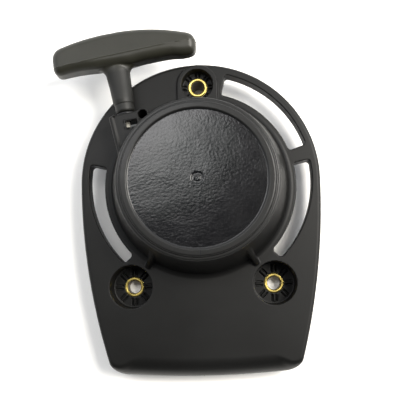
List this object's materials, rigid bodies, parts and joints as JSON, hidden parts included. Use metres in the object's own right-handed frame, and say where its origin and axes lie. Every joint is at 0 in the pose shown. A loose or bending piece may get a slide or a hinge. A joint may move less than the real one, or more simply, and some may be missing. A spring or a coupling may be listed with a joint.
{
  "type": "recoil starter",
  "caption": "Recoil starter for a small two-stroke engine: moulded cup housing on brass-sleeved bosses, with a spring-loaded rope reel, swinging pawls and a T-handle.",
  "frame": {"origin": "centre of the whole starter's outline box, on the mounting plane that the bosses stand on", "axes": "+Z along the reel axis, away from the engine; +Y up the plate to the single top boss; +X to the right, seen from outside"},
  "size_m": [0.1376, 0.1796, 0.0468],
  "materials": {
    "housing_plastic": "moulded satin black, glossy on the cup's top disc",
    "handle_plastic": "moulded satin dark grey",
    "reel_plastic": "moulded black nylon",
    "brass": "turned and polished",
    "steel": "zinc plated",
    "spring_steel": "blued, oiled",
    "rope": "braided nylon"
  },
  "bodies": {
    "casing": {"housing": "housing_plastic", "bush_left": "brass", "bush_right": "brass", "bush_top": "brass", "rope_guide": "reel_plastic", "spring_case": "steel", "recoil_spring": "spring_steel", "spring_cover": "steel", "post_bush": "brass", "friction_spring": "spring_steel", "screw_washer": "steel", "center_screw": "steel"},
    "reel": {"rope_reel": "reel_plastic", "rope_coil": "rope", "reel_knot": "rope", "pawl_pin_a": "steel", "pawl_pin_b": "steel"},
    "guide": {"pawl_guide": "steel"},
    "pawl_a": {"pawl_a": "steel"},
    "pawl_b": {"pawl_b": "steel"},
    "handle": {"handle_grip": "handle_plastic", "rope_lead": "rope", "knot_washer": "steel", "handle_knot": "rope", "handle_plug": "handle_plastic"}
  },
  "joints": [
    {"name": "handle_pull", "type": "slide", "parent": "casing", "child": "handle", "axis": [-0.1736, 0.9848, 0], "range_m": [0, 0.6], "stiffness_N_per_m": 12, "springref_m": -0.6, "deforming": ["rope_lead"]},
    {"name": "reel_spin", "type": "hinge", "parent": "casing", "child": "reel", "pos_m": [0.00614, 0.00793, 0.027], "axis": [0, 0, -1], "range_deg": [0, 1145], "deforming": ["recoil_spring"]},
    {"name": "guide_turn", "type": "hinge", "parent": "reel", "child": "guide", "pos_m": [0.00614, 0.00793, 0.0145], "axis": [0, 0, 1], "range_deg": [0, 28]},
    {"name": "pawl_a_swing", "type": "hinge", "parent": "reel", "child": "pawl_a", "pos_m": [0.00614, 0.02493, 0.0183], "axis": [0, 0, 1], "range_deg": [0, 25]},
    {"name": "pawl_b_swing", "type": "hinge", "parent": "reel", "child": "pawl_b", "pos_m": [0.00614, -0.00907, 0.0183], "axis": [0, 0, 1], "range_deg": [0, 25]}
  ],
  "couplings": [
    {"joint": "reel_spin", "follows": "handle_pull", "rad_per_m": 33.113},
    {"joint": "pawl_a_swing", "follows": "guide_turn", "ratio": 0.8928},
    {"joint": "pawl_b_swing", "follows": "guide_turn", "ratio": 0.8928}
  ]
}
